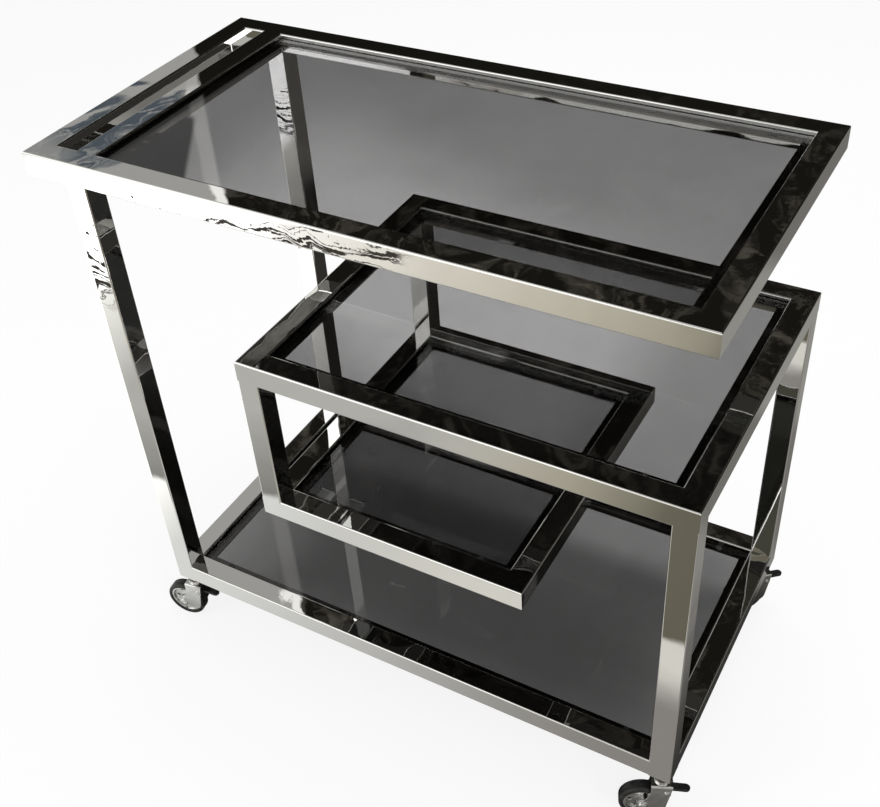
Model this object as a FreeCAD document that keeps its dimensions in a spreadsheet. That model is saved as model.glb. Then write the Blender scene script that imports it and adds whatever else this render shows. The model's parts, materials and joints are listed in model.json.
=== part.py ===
import FreeCAD, Part
import Sketcher
import math
import os

from FreeCAD import Placement, Rotation, Vector

# Serving trolley: a spiral frame of polished square tube that carries four panes of smoked
# glass and rolls on four forked casters with brake levers.
# Lengths are in millimetres, angles in degrees, +Z is up and +X runs from the push handle
# to the right end. The origin is on the floor below the middle of the whole trolley.

os.makedirs("parts", exist_ok=True)
doc = FreeCAD.newDocument("serving_trolley")
sheet = doc.addObject("Spreadsheet::Sheet", "Sizes")

SIZES = [
    # Frame
    ("frame_length", 850),
    ("frame_depth", 430),
    ("handle_reach", 60),
    ("shelf_inset", 264),
    ("storey_pitch", 225),
    ("tube_side", 30),
    ("tube_wall", 1.5),
    ("tube_corner", 2),
    # Glass and what it lies on
    ("glass_thickness", 6),
    ("glass_recess", 6),
    ("glass_gap", 1),
    ("glass_arris", 0.8),
    ("ledge_width", 12),
    ("ledge_thickness", 3),
    ("pad_radius", 4.5),
    ("pad_thickness", 1),
    ("pad_inset", 45),
    # Caster: height under the frame, stem and swivel
    ("caster_height", 95),
    ("insert_length", 26),
    ("insert_clearance", 0.1),
    ("stem_radius", 5),
    ("stem_length", 20),
    ("neck_radius", 7.5),
    ("neck_length", 11),
    ("cup_radius", 10),
    ("cup_thickness", 3),
    ("washer_thickness", 0.8),
    ("swivel_gap", 0.1),
    ("rivet_radius", 8),
    ("rivet_thickness", 2.5),
    ("running_clearance", 0.05),
    # Wheel
    ("wheel_clearance", 10),
    ("wheel_trail", 23),
    ("tyre_width", 18),
    ("tyre_depth", 6),
    ("tyre_shoulder", 4),
    ("hub_radius", 8),
    ("hub_width", 20),
    ("web_thickness", 4),
    ("band_depth", 3),
    ("band_width", 15),
    ("web_hole_radius", 2.6),
    ("web_hole_count", 6),
    # Fork and axle
    ("fork_play", 0.3),
    ("fork_plate", 2.5),
    ("fork_fold", 3),
    ("crown_thickness", 3),
    ("crown_back", 14),
    ("crown_nose", 7),
    ("boss_radius", 9.5),
    ("boss_height", 5),
    ("fork_end_radius", 9.5),
    ("fork_toe", 2),
    ("fork_front_corner", 12.5),
    ("fork_waist_drop", 13),
    ("fork_back_curve", 40),
    ("axle_radius", 4),
    ("axle_head_radius", 6.5),
    ("axle_head_height", 3),
    ("axle_head_round", 1.5),
    # Brake lever
    ("lever_stand_off", 10.7),
    ("lever_bearing", 44),
    ("lever_pin_radius", 2.5),
    ("lever_pin_head", 3.5),
    ("lever_pin_head_height", 1.2),
    ("lever_barrel_radius", 4.5),
    ("lever_side_play", 0.4),
    ("pedal_reach", 37),
    ("pedal_width", 11),
    ("pedal_thickness", 4),
    ("pedal_lift", -1.5),
    ("pedal_slope", 5),
    ("pedal_round", 1.2),
    ("shoe_reach", 8.6),
    ("shoe_angle", 27),
    ("shoe_nose", 2),
    ("shoe_width", 15),
    # Where each caster points, turned about its stem
    ("yaw_front_left", 8),
    ("yaw_front_right", 24),
    ("yaw_back_right", 44),
    ("yaw_back_left", -24),
]
for row, (alias, value) in enumerate(SIZES, start=1):
    sheet.set(f"A{row}", alias.replace("_", " "))
    sheet.set(f"B{row}", str(value))
    sheet.setAlias(f"B{row}", alias)
doc.recompute()


class Size:
    """A length that knows its value now and the sheet formula that gives it."""

    def __init__(self, value, text):
        self.value = float(value)
        self.text = text

    def __add__(self, other):
        other = as_size(other)
        return Size(self.value + other.value, f"({self.text} + {other.text})")

    def __sub__(self, other):
        other = as_size(other)
        return Size(self.value - other.value, f"({self.text} - {other.text})")

    def __mul__(self, factor):
        return Size(self.value * factor, f"({self.text} * {factor:.9f})")

    def __truediv__(self, divisor):
        return Size(self.value / divisor, f"({self.text} / {divisor})")

    def __neg__(self):
        return Size(-self.value, f"(0 - {self.text})")


def as_size(item):
    """Turn a plain number into a Size, and leave a Size as it is."""
    return item if isinstance(item, Size) else Size(item, f"{item}")


def size(alias):
    """Read one named size from the sheet."""
    return Size(sheet.get(alias), f"Sizes.{alias}")


ZERO = as_size(0)


def bind(thing, prop, length):
    """Tie a property of an object to its formula."""
    thing.setExpression(prop, as_size(length).text)


def place(thing, x, y, z, turn=0.0, tip=0.0):
    """Put an object at a bound position, tipped about its own Y and turned about the vertical."""
    thing.Placement = Placement(
        Vector(as_size(x).value, as_size(y).value, as_size(z).value),
        Rotation(Vector(0, 0, 1), turn) * Rotation(Vector(0, 1, 0), tip),
    )
    bind(thing, "Placement.Base.x", x)
    bind(thing, "Placement.Base.y", y)
    bind(thing, "Placement.Base.z", z)


def origin_item(body, role):
    """Find one of a body's own origin planes or axes."""
    for item in body.Origin.OriginFeatures:
        if item.Role == role:
            return item
    raise ValueError(role)


def new_sketch(body, role, offset=None):
    """Add a sketch to a body on one of its origin planes, moved along the normal if asked."""
    sketch = body.newObject("Sketcher::SketchObject", f"{body.Name}_sketch")
    sketch.AttachmentSupport = (origin_item(body, role), [""])
    sketch.MapMode = "FlatFace"
    if offset is not None:
        bind(sketch, "AttachmentOffset.Base.z", offset)
    return sketch


def fix_point(sketch, curve, end, x, y):
    """Hold one end of a curve at bound coordinates."""
    for kind, length in (("DistanceX", as_size(x)), ("DistanceY", as_size(y))):
        number = sketch.addConstraint(
            Sketcher.Constraint(kind, -1, 1, curve, end, length.value)
        )
        sketch.setExpression(f"Constraints[{number}]", length.text)


def arc_between(start, finish, radius, left):
    """Make the smaller arc from start to finish, with its centre on the left or right."""
    middle = (start + finish) * 0.5
    chord = finish - start
    rise = math.sqrt(max(radius**2 - chord.Length**2 / 4, 0))
    side = Vector(-chord.y, chord.x, 0).normalize() * (rise if left else -rise)
    centre = middle + side
    first = math.atan2(start.y - centre.y, start.x - centre.x)
    last = math.atan2(finish.y - centre.y, finish.x - centre.x)
    circle = Part.Circle(centre, Vector(0, 0, 1), radius)
    if left:
        return Part.ArcOfCircle(circle, first, last)
    return Part.ArcOfCircle(circle, last, first)


def draw(sketch, corners):
    """Draw a closed outline through bound corners.

    A corner is (x, y), or (x, y, radius, side) where an arc leads on from it to the next
    corner, with its centre on the left or right of the way there.
    """
    points = [Vector(as_size(c[0]).value, as_size(c[1]).value, 0) for c in corners]
    first = sketch.GeometryCount
    ends = []
    for index, corner in enumerate(corners):
        start = points[index]
        finish = points[(index + 1) % len(points)]
        if len(corner) == 2:
            sketch.addGeometry(Part.LineSegment(start, finish), False)
            ends.append((1, 2))
        else:
            radius = as_size(corner[2])
            left = corner[3] == "left"
            arc = arc_between(start, finish, radius.value, left)
            curve = sketch.addGeometry(arc, False)
            number = sketch.addConstraint(
                Sketcher.Constraint("Radius", curve, radius.value)
            )
            sketch.setExpression(f"Constraints[{number}]", radius.text)
            ends.append((1, 2) if left else (2, 1))
    for index, corner in enumerate(corners):
        after = (index + 1) % len(corners)
        sketch.addConstraint(
            Sketcher.Constraint(
                "Coincident", first + index, ends[index][1], first + after, ends[after][0]
            )
        )
    for index, corner in enumerate(corners):
        fix_point(sketch, first + index, ends[index][0], corner[0], corner[1])


def draw_rectangle(sketch, x_low, x_high, y_low, y_high):
    """Draw a rectangle between bound sides."""
    draw(sketch, [(x_low, y_low), (x_high, y_low), (x_high, y_high), (x_low, y_high)])


def draw_circle(sketch, x, y, radius):
    """Draw a circle about a bound centre."""
    x, y, radius = as_size(x), as_size(y), as_size(radius)
    shape = Part.Circle(Vector(x.value, y.value, 0), Vector(0, 0, 1), radius.value)
    curve = sketch.addGeometry(shape, False)
    number = sketch.addConstraint(Sketcher.Constraint("Radius", curve, radius.value))
    sketch.setExpression(f"Constraints[{number}]", radius.text)
    fix_point(sketch, curve, 3, x, y)


def new_body(name):
    """Start a sub-part whose label names its file."""
    body = doc.addObject("PartDesign::Body", name)
    body.Label = name
    return body


def pad(body, sketch, length, both_ways=False):
    """Give a sketch thickness, to one side or half to each."""
    feature = body.newObject("PartDesign::Pad", f"{body.Name}_pad")
    feature.Profile = sketch
    bind(feature, "Length", length)
    if both_ways:
        feature.SideType = "Symmetric"
    doc.recompute()
    return feature


def cut(body, sketch, length=None, reverse=False):
    """Cut a sketch through the solid, or to a depth, and see that it took some away."""
    before = body.Shape.Volume
    feature = body.newObject("PartDesign::Pocket", f"{body.Name}_cut")
    feature.Profile = sketch
    if length is None:
        feature.Type = "ThroughAll"
        feature.SideType = "Symmetric"
    else:
        bind(feature, "Length", length)
        feature.Reversed = reverse
    doc.recompute()
    if body.Shape.Volume > before - 0.01:
        raise ValueError(f"{body.Name}: a cut took nothing away")
    return feature


def revolve(body, sketch):
    """Turn a profile about the vertical line through its sketch's origin."""
    feature = body.newObject("PartDesign::Revolution", f"{body.Name}_turned")
    feature.Profile = sketch
    feature.ReferenceAxis = (sketch, ["V_Axis"])
    feature.Angle = 360
    doc.recompute()
    return feature


def round_edges(body, base, radius, wanted):
    """Round the edges that the test picks out."""
    names = [
        f"Edge{number}"
        for number, edge in enumerate(base.Shape.Edges, start=1)
        if wanted(edge)
    ]
    feature = body.newObject("PartDesign::Fillet", f"{body.Name}_fillet")
    feature.Base = (base, names)
    bind(feature, "Radius", radius)
    doc.recompute()
    return feature


def near(a, b):
    """Say whether two places are the same."""
    return abs(a - b) < 1e-3


# The front right pedal reaches furthest past the frame: the middle is halfway from the handle to it
TUBE = size("tube_side")
PEDAL_END = size("pedal_width") / 2
FORK_TURN = math.cos(math.radians(sheet.get("yaw_front_right")))
OVERHANG = (size("pedal_reach") - PEDAL_END) * FORK_TURN + PEDAL_END - TUBE / 2

# Lines of the frame, measured from the middle of the whole trolley
LEFT_END = -(size("frame_length") + OVERHANG) / 2
RIGHT_END = LEFT_END + size("frame_length")
FRONT = -size("frame_depth") / 2
BACK = size("frame_depth") / 2
LEG_LINE = LEFT_END + size("handle_reach")
SHELF_LINE = LEFT_END + size("shelf_inset")
INNER_END = RIGHT_END - size("shelf_inset") + size("handle_reach")
FOOT = size("caster_height")
BASE_TOP = FOOT + TUBE
INNER_TOP = BASE_TOP + size("storey_pitch")
MIDDLE_TOP = INNER_TOP + size("storey_pitch")
TOP = MIDDLE_TOP + size("storey_pitch")

nodes = []


def tube(name, length, mitred=False):
    """Cut a length of square tube along +X, its outer side at -Y, sawn at 45 degrees if asked."""
    body = new_body(name)
    half = TUBE / 2
    inside = half - size("tube_wall")
    corner = size("tube_corner")
    flat = half - corner
    section = new_sketch(body, "YZ_Plane")
    draw(
        section,
        [
            (-flat, -half),
            (flat, -half, corner, "left"),
            (half, -flat),
            (half, flat, corner, "left"),
            (flat, half),
            (-flat, half, corner, "left"),
            (-half, flat),
            (-half, -flat, corner, "left"),
        ],
    )
    draw_rectangle(section, -inside, inside, -inside, inside)
    pad(body, section, length)
    if mitred:
        saw = new_sketch(body, "XY_Plane")
        draw(saw, [(ZERO, -half), (TUBE, half), (ZERO, half)])
        draw(saw, [(length, -half), (length, half), (length - TUBE, half)])
        cut(body, saw)
    nodes.append(body)
    return body


def lay_rail(name, x, y, top, length, turn, mitred=True):
    """Lay a rail with its outer corner over (x, y) and its upper face at the given level."""
    rail = tube(name, length, mitred)
    side_x = round(-math.sin(math.radians(turn)))
    side_y = round(math.cos(math.radians(turn)))
    place(rail, x + TUBE / 2 * side_x, y + TUBE / 2 * side_y, top - TUBE / 2, turn)
    return rail


def ring_of_rails(tier, left, right, top):
    """Build a tier from four rails mitred together."""
    length = right - left
    depth = BACK - FRONT
    lay_rail(f"{tier}_front_rail", left, FRONT, top, length, 0)
    lay_rail(f"{tier}_right_rail", right, FRONT, top, depth, 90)
    lay_rail(f"{tier}_back_rail", right, BACK, top, length, 180)
    lay_rail(f"{tier}_left_rail", left, BACK, top, depth, 270)


def stand_tube(name, x, y, bottom, top):
    """Stand a square-cut tube on end with its axis through (x, y)."""
    leg = tube(name, top - bottom)
    leg.Placement = Placement(
        Vector(x.value, y.value, bottom.value), Rotation(Vector(0, 1, 0), -90)
    )
    bind(leg, "Placement.Base.x", x)
    bind(leg, "Placement.Base.y", y)
    bind(leg, "Placement.Base.z", bottom)


# Top tier: the open loop at its left end is the push handle
ring_of_rails("top", LEFT_END, RIGHT_END, TOP)
ring_of_rails("middle", SHELF_LINE, RIGHT_END, MIDDLE_TOP)
ring_of_rails("inner", SHELF_LINE, INNER_END, INNER_TOP)
lay_rail(
    "top_cross_rail", LEG_LINE, BACK - TUBE, TOP, BACK - FRONT - TUBE * 2, 270, mitred=False
)

# Base tier: square-cut rails between legs that run down to the casters
SPAN_X = RIGHT_END - LEG_LINE - TUBE * 2
SPAN_Y = BACK - FRONT - TUBE * 2
lay_rail("base_front_rail", LEG_LINE + TUBE, FRONT, BASE_TOP, SPAN_X, 0, mitred=False)
lay_rail("base_back_rail", RIGHT_END - TUBE, BACK, BASE_TOP, SPAN_X, 180, mitred=False)
lay_rail("base_left_rail", LEG_LINE, BACK - TUBE, BASE_TOP, SPAN_Y, 270, mitred=False)
lay_rail("base_right_rail", RIGHT_END, FRONT + TUBE, BASE_TOP, SPAN_Y, 90, mitred=False)

# Legs and posts, each under the corner that it carries
LEFT_AXIS = LEG_LINE + TUBE / 2
RIGHT_AXIS = RIGHT_END - TUBE / 2
POST_AXIS = SHELF_LINE + TUBE / 2
FRONT_AXIS = FRONT + TUBE / 2
BACK_AXIS = BACK - TUBE / 2
for side, y in (("front", FRONT_AXIS), ("back", BACK_AXIS)):
    stand_tube(f"{side}_left_leg", LEFT_AXIS, y, FOOT, TOP - TUBE)
    stand_tube(f"{side}_right_leg", RIGHT_AXIS, y, FOOT, MIDDLE_TOP - TUBE)
    stand_tube(f"{side}_post", POST_AXIS, y, INNER_TOP, MIDDLE_TOP - TUBE)


def bar(name, x, y, z, along, deep, high):
    """Make a plain bar from its lowest corner."""
    piece = doc.addObject("Part::Box", name)
    bind(piece, "Length", along)
    bind(piece, "Width", deep)
    bind(piece, "Height", high)
    place(piece, x, y, z)
    return piece


def group(name, pieces):
    """Keep alike pieces in one node as separate solids."""
    bundle = doc.addObject("Part::Compound", name)
    bundle.Label = name
    bundle.Links = pieces
    nodes.append(bundle)


pads = []


def glaze(tier, left, right, top):
    """Fit a pane, its ledge and its pads between the rails of one tier."""
    front = FRONT + TUBE
    back = BACK - TUBE
    gap = size("glass_gap")
    width = size("ledge_width")
    glass_bottom = top - size("glass_recess") - size("glass_thickness")
    ledge_top = glass_bottom - size("pad_thickness")
    ledge_bottom = ledge_top - size("ledge_thickness")

    pane = new_body(f"{tier}_glass")
    outline = new_sketch(pane, "XY_Plane")
    draw_rectangle(outline, ZERO, right - left - gap * 2, ZERO, back - front - gap * 2)
    slab = pad(pane, outline, size("glass_thickness"))
    arris = pane.newObject("PartDesign::Chamfer", f"{pane.Name}_arris")
    rim = [
        f"Edge{number}"
        for number, edge in enumerate(slab.Shape.Edges, start=1)
        if near(edge.Vertexes[0].Z, edge.Vertexes[1].Z)
    ]
    arris.Base = (slab, rim)
    bind(arris, "Size", size("glass_arris"))
    place(pane, left + gap, front + gap, glass_bottom)
    nodes.append(pane)

    thick = size("ledge_thickness")
    strip = f"{tier}_ledge"
    span = right - left
    inner = back - front - width * 2
    group(
        strip,
        [
            bar(f"{strip}_front", left, front, ledge_bottom, span, width, thick),
            bar(f"{strip}_back", left, back - width, ledge_bottom, span, width, thick),
            bar(f"{strip}_left", left, front + width, ledge_bottom, width, inner, thick),
            bar(
                f"{strip}_right", right - width, front + width, ledge_bottom, width, inner, thick
            ),
        ],
    )
    inset = size("pad_inset")
    for x in (left + inset, right - inset):
        for y in (front + width / 2, back - width / 2):
            dot = doc.addObject("Part::Cylinder", f"{tier}_pad")
            bind(dot, "Radius", size("pad_radius"))
            bind(dot, "Height", size("pad_thickness"))
            place(dot, x, y, ledge_top)
            pads.append(dot)


glaze("top", LEG_LINE + TUBE, RIGHT_END - TUBE, TOP)
glaze("middle", SHELF_LINE + TUBE, RIGHT_END - TUBE, MIDDLE_TOP)
glaze("inner", SHELF_LINE + TUBE, INNER_END - TUBE, INNER_TOP)
glaze("base", LEG_LINE + TUBE, RIGHT_END - TUBE, BASE_TOP)
group("glass_pads", pads)

# Levels and widths that the parts of a caster share
CUP_BOTTOM = FOOT - size("neck_length") - size("cup_thickness")
BOSS_TOP = CUP_BOTTOM - size("washer_thickness") - size("swivel_gap") * 2
CROWN_TOP = BOSS_TOP - size("boss_height")
CROWN_BOTTOM = CROWN_TOP - size("crown_thickness")
RIVET_TOP = CROWN_BOTTOM - size("swivel_gap")
FORK_INSIDE = size("hub_width") / 2 + size("fork_play")
FORK_OUTSIDE = FORK_INSIDE + size("fork_plate")
CLEARANCE = size("running_clearance")

# The wheel fills the fork up to its clearance, and the lever's pin stands off the tyre
WHEEL = (CROWN_BOTTOM - size("wheel_clearance")) / 2
BEARING = math.radians(sheet.get("lever_bearing"))
PIN_ARM = WHEEL + size("lever_stand_off")
PIN_X = PIN_ARM * math.cos(BEARING) - size("wheel_trail")
PIN_Z = PIN_ARM * math.sin(BEARING) + WHEEL


def make_insert(name):
    """Square plug inside the foot of a leg, bored for the stem's thread."""
    body = new_body(name)
    half = TUBE / 2 - size("tube_wall") - size("insert_clearance")
    outline = new_sketch(body, "XY_Plane")
    draw_rectangle(outline, -half, half, -half, half)
    draw_circle(outline, ZERO, ZERO, size("stem_radius") + CLEARANCE)
    pad(body, outline, size("insert_length"))
    return body


def make_stem(name):
    """Threaded stem with its neck, bearing cup, journal and riveted end, turned in one."""
    body = new_body(name)
    profile = new_sketch(body, "XZ_Plane")
    radius = size("stem_radius")
    draw(
        profile,
        [
            (ZERO, RIVET_TOP - size("rivet_thickness")),
            (size("rivet_radius") - 1, RIVET_TOP - size("rivet_thickness")),
            (size("rivet_radius"), RIVET_TOP - size("rivet_thickness") + 1),
            (size("rivet_radius"), RIVET_TOP),
            (radius, RIVET_TOP),
            (radius, CUP_BOTTOM),
            (size("cup_radius"), CUP_BOTTOM),
            (size("cup_radius"), CUP_BOTTOM + size("cup_thickness")),
            (size("neck_radius"), CUP_BOTTOM + size("cup_thickness")),
            (size("neck_radius"), FOOT),
            (radius, FOOT),
            (radius, FOOT + size("stem_length")),
            (ZERO, FOOT + size("stem_length")),
        ],
    )
    revolve(body, profile)
    return body


def make_washer(name):
    """Thrust washer between the cup and the fork's boss."""
    body = new_body(name)
    outline = new_sketch(body, "XY_Plane")
    draw_circle(outline, ZERO, ZERO, size("boss_radius"))
    draw_circle(outline, ZERO, ZERO, size("stem_radius") + CLEARANCE)
    pad(body, outline, size("washer_thickness"))
    return body


def make_fork(name):
    """Pressed fork: a crown with a bearing boss and two broad legs down to the axle."""
    body = new_body(name)
    trail = size("wheel_trail")
    axle = WHEEL
    end = size("fork_end_radius")
    crown = size("crown_back")
    front = PIN_X - size("fork_toe")
    corner = size("fork_front_corner")
    side = new_sketch(body, "XZ_Plane")
    draw(
        side,
        [
            (-crown, CROWN_TOP),
            (-crown, CROWN_TOP - size("fork_waist_drop"), size("fork_back_curve"), "right"),
            (-trail - end, axle, end, "left"),
            (-trail, axle - end),
            (front - corner, axle - end, corner, "left"),
            (front, axle - end + corner),
            (PIN_X + size("crown_nose"), CROWN_TOP),
        ],
    )
    block = pad(body, side, FORK_OUTSIDE * 2, both_ways=True)
    fold = FORK_OUTSIDE.value
    round_edges(
        body,
        block,
        size("fork_fold"),
        lambda e: all(near(v.Z, CROWN_TOP.value) and near(abs(v.Y), fold) for v in e.Vertexes),
    )
    slot = new_sketch(body, "YZ_Plane")
    draw_rectangle(slot, -FORK_INSIDE, FORK_INSIDE, ZERO, CROWN_BOTTOM)
    cut(body, slot)
    seat = new_sketch(body, "XY_Plane", CROWN_TOP)
    draw_circle(seat, ZERO, ZERO, size("boss_radius"))
    pad(body, seat, size("boss_height"))
    bore = new_sketch(body, "XY_Plane")
    draw_circle(bore, ZERO, ZERO, size("stem_radius") + CLEARANCE)
    cut(body, bore)
    holes = new_sketch(body, "XZ_Plane")
    draw_circle(holes, -trail, axle, size("axle_radius") + CLEARANCE)
    draw_circle(holes, PIN_X, PIN_Z, size("lever_pin_radius") + CLEARANCE)
    cut(body, holes)
    return body


def make_pin(name, radius, head, height, edge):
    """Headed pin along Y that spans the fork, rounded on both heads."""
    body = new_body(name)
    profile = new_sketch(body, "XY_Plane")
    draw(
        profile,
        [
            (ZERO, -FORK_OUTSIDE - height),
            (head - edge, -FORK_OUTSIDE - height, edge, "left"),
            (head, -FORK_OUTSIDE - height + edge),
            (head, -FORK_OUTSIDE),
            (radius, -FORK_OUTSIDE),
            (radius, FORK_OUTSIDE),
            (head, FORK_OUTSIDE),
            (head, FORK_OUTSIDE + height - edge, edge, "left"),
            (head - edge, FORK_OUTSIDE + height),
            (ZERO, FORK_OUTSIDE + height),
        ],
    )
    revolve(body, profile)
    return body


def make_rim(name):
    """Wheel centre: hub, pierced web and the band that carries the tyre."""
    body = new_body(name)
    bore = size("axle_radius") + CLEARANCE
    hub = size("hub_radius")
    seat = WHEEL - size("tyre_depth")
    band = seat - size("band_depth")
    hub_half = size("hub_width") / 2
    web_half = size("web_thickness") / 2
    band_half = size("band_width") / 2
    profile = new_sketch(body, "XY_Plane")
    draw(
        profile,
        [
            (bore, -hub_half),
            (hub, -hub_half),
            (hub, -web_half),
            (band, -web_half),
            (band, -band_half),
            (seat, -band_half),
            (seat, band_half),
            (band, band_half),
            (band, web_half),
            (hub, web_half),
            (hub, hub_half),
            (bore, hub_half),
        ],
    )
    revolve(body, profile)
    piercing = new_sketch(body, "XZ_Plane")
    draw_circle(piercing, hub + (band - hub) * 2 / 3, ZERO, size("web_hole_radius"))
    hole = cut(body, piercing)
    ring = body.newObject("PartDesign::PolarPattern", f"{body.Name}_holes")
    ring.Originals = [hole]
    ring.Axis = (origin_item(body, "Y_Axis"), [""])
    ring.Angle = 360
    ring.Occurrences = int(size("web_hole_count").value)
    body.Tip = ring
    doc.recompute()
    return body


def make_tyre(name):
    """Rubber tyre with rounded shoulders, seated on the band."""
    body = new_body(name)
    outer = WHEEL
    seat = outer - size("tyre_depth")
    half = size("tyre_width") / 2
    shoulder = size("tyre_shoulder")
    profile = new_sketch(body, "XY_Plane")
    draw(
        profile,
        [
            (seat, -half),
            (outer - shoulder, -half, shoulder, "left"),
            (outer, -half + shoulder),
            (outer, half - shoulder, shoulder, "left"),
            (outer - shoulder, half),
            (seat, half),
        ],
    )
    revolve(body, profile)
    return body


def make_lever(name):
    """Brake lever: a barrel on its pin, a pedal that points outwards and a shoe over the tyre."""
    body = new_body(name)
    barrel = size("lever_barrel_radius")
    half = FORK_INSIDE - size("lever_side_play")
    turned = new_sketch(body, "XZ_Plane")
    draw_circle(turned, ZERO, ZERO, barrel)
    pad(body, turned, half * 2, both_ways=True)

    slope = size("pedal_slope").value
    towards_axle = 180 + size("lever_bearing").value
    angle = math.radians(towards_axle + size("shoe_angle").value + slope)
    along = (math.cos(angle), math.sin(angle))
    across = (-math.sin(angle), math.cos(angle))
    nose = size("shoe_nose")
    reach = size("shoe_reach")
    shoe = new_sketch(body, "XZ_Plane")
    draw(
        shoe,
        [
            (barrel * -across[0], barrel * -across[1]),
            (reach * along[0] - nose * across[0], reach * along[1] - nose * across[1], nose, "left"),
            (reach * along[0] + nose * along[0], reach * along[1] + nose * along[1], nose, "left"),
            (reach * along[0] + nose * across[0], reach * along[1] + nose * across[1]),
            (barrel * across[0], barrel * across[1]),
        ],
    )
    pad(body, shoe, size("shoe_width"), both_ways=True)

    width = PEDAL_END
    tip = size("pedal_reach") - PIN_X
    plate = new_sketch(body, "XY_Plane", size("pedal_lift"))
    draw(
        plate,
        [
            (ZERO, -width),
            (tip - width, -width, width, "left"),
            (tip, ZERO, width, "left"),
            (tip - width, width),
            (ZERO, width),
        ],
    )
    pedal = pad(body, plate, size("pedal_thickness"))
    top = (size("pedal_lift") + size("pedal_thickness")).value
    start = barrel.value
    round_edges(
        body,
        pedal,
        size("pedal_round"),
        lambda e: all(near(v.Z, top) for v in e.Vertexes) and e.CenterOfMass.x > start,
    )
    bore = new_sketch(body, "XZ_Plane")
    draw_circle(bore, ZERO, ZERO, size("lever_pin_radius") + CLEARANCE)
    cut(body, bore)
    return body


CASTERS = [
    ("front_left", LEFT_AXIS, FRONT_AXIS),
    ("front_right", RIGHT_AXIS, FRONT_AXIS),
    ("back_right", RIGHT_AXIS, BACK_AXIS),
    ("back_left", LEFT_AXIS, BACK_AXIS),
]
inserts = []
stems = []
washers = []
for corner, stem_x, stem_y in CASTERS:
    yaw = size(f"yaw_{corner}").value
    cosine = math.cos(math.radians(yaw))
    sine = math.sin(math.radians(yaw))
    insert = make_insert(f"insert_{corner}")
    place(insert, stem_x, stem_y, FOOT)
    inserts.append(insert)
    stem = make_stem(f"stem_{corner}")
    place(stem, stem_x, stem_y, ZERO)
    stems.append(stem)
    washer = make_washer(f"washer_{corner}")
    place(washer, stem_x, stem_y, BOSS_TOP + size("swivel_gap"))
    washers.append(washer)

    fork = make_fork(f"{corner}_fork")
    place(fork, stem_x, stem_y, ZERO, yaw)
    wheel_x = stem_x - size("wheel_trail") * cosine
    wheel_y = stem_y - size("wheel_trail") * sine
    pivot_x = stem_x + PIN_X * cosine
    pivot_y = stem_y + PIN_X * sine
    axle = make_pin(
        f"{corner}_axle",
        size("axle_radius"),
        size("axle_head_radius"),
        size("axle_head_height"),
        size("axle_head_round"),
    )
    place(axle, wheel_x, wheel_y, WHEEL, yaw)
    rim = make_rim(f"{corner}_rim")
    place(rim, wheel_x, wheel_y, WHEEL, yaw)
    tyre = make_tyre(f"{corner}_tyre")
    place(tyre, wheel_x, wheel_y, WHEEL, yaw)
    lever = make_lever(f"{corner}_brake_lever")
    place(lever, pivot_x, pivot_y, PIN_Z, yaw, size("pedal_slope").value)
    pin = make_pin(
        f"{corner}_lever_pin",
        size("lever_pin_radius"),
        size("lever_pin_head"),
        size("lever_pin_head_height"),
        size("lever_pin_head_height") / 2,
    )
    place(pin, pivot_x, pivot_y, PIN_Z, yaw)
    nodes.extend([fork, axle, rim, tyre, lever, pin])
group("leg_inserts", inserts)
group("caster_stems", stems)
group("swivel_washers", washers)

doc.recompute()
for item in doc.Objects:
    if "Invalid" in item.State or "Error" in item.State:
        raise ValueError(f"{item.Label} failed")
for node in nodes:
    if node.Shape.isNull() or not node.Shape.isValid():
        raise ValueError(f"{node.Label} has no valid shape")
for node in nodes:
    node.Shape.exportStep(f"parts/{node.Label}.step")
    box = node.Shape.BoundBox
    print(
        f"{node.Label}: {len(node.Shape.Solids)} solid, {node.Shape.Volume / 1000:.2f} cm3, "
        f"x {box.XMin:.1f} to {box.XMax:.1f}, y {box.YMin:.1f} to {box.YMax:.1f}, "
        f"z {box.ZMin:.1f} to {box.ZMax:.1f}"
    )
print(len(nodes), "nodes")
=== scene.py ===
# %% [markdown]
# A serving trolley in Blender.
# The trolley is a spiral of polished square tube with four smoked glass shelves, and it stands on four
# swivel casters. Its plain solids come from a CAD model that is loaded as a fixed frame. This lesson gives
# them their finishes, models the caster parts that show more detail than the solids have, and lights the
# whole as a studio picture.

# %% Load the solids
import json
import math

import bpy
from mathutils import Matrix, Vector


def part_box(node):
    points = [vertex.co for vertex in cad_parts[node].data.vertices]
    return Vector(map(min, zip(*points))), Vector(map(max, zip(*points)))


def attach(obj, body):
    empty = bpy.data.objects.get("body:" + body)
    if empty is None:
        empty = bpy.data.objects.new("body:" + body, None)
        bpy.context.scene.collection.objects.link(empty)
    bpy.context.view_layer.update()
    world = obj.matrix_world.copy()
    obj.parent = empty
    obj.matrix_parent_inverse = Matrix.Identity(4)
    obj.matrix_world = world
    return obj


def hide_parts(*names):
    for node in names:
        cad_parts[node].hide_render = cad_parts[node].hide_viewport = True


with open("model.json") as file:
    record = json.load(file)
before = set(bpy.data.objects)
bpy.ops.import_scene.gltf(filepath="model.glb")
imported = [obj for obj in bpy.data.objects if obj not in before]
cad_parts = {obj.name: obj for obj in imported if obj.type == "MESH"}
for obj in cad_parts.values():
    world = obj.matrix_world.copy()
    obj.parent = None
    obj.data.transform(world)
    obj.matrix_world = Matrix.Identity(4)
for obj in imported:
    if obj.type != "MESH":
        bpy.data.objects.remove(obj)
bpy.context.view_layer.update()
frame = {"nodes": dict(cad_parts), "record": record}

slot_of = {part["node"]: part["material_slot"] for part in frame["record"]["subparts"]}

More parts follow.
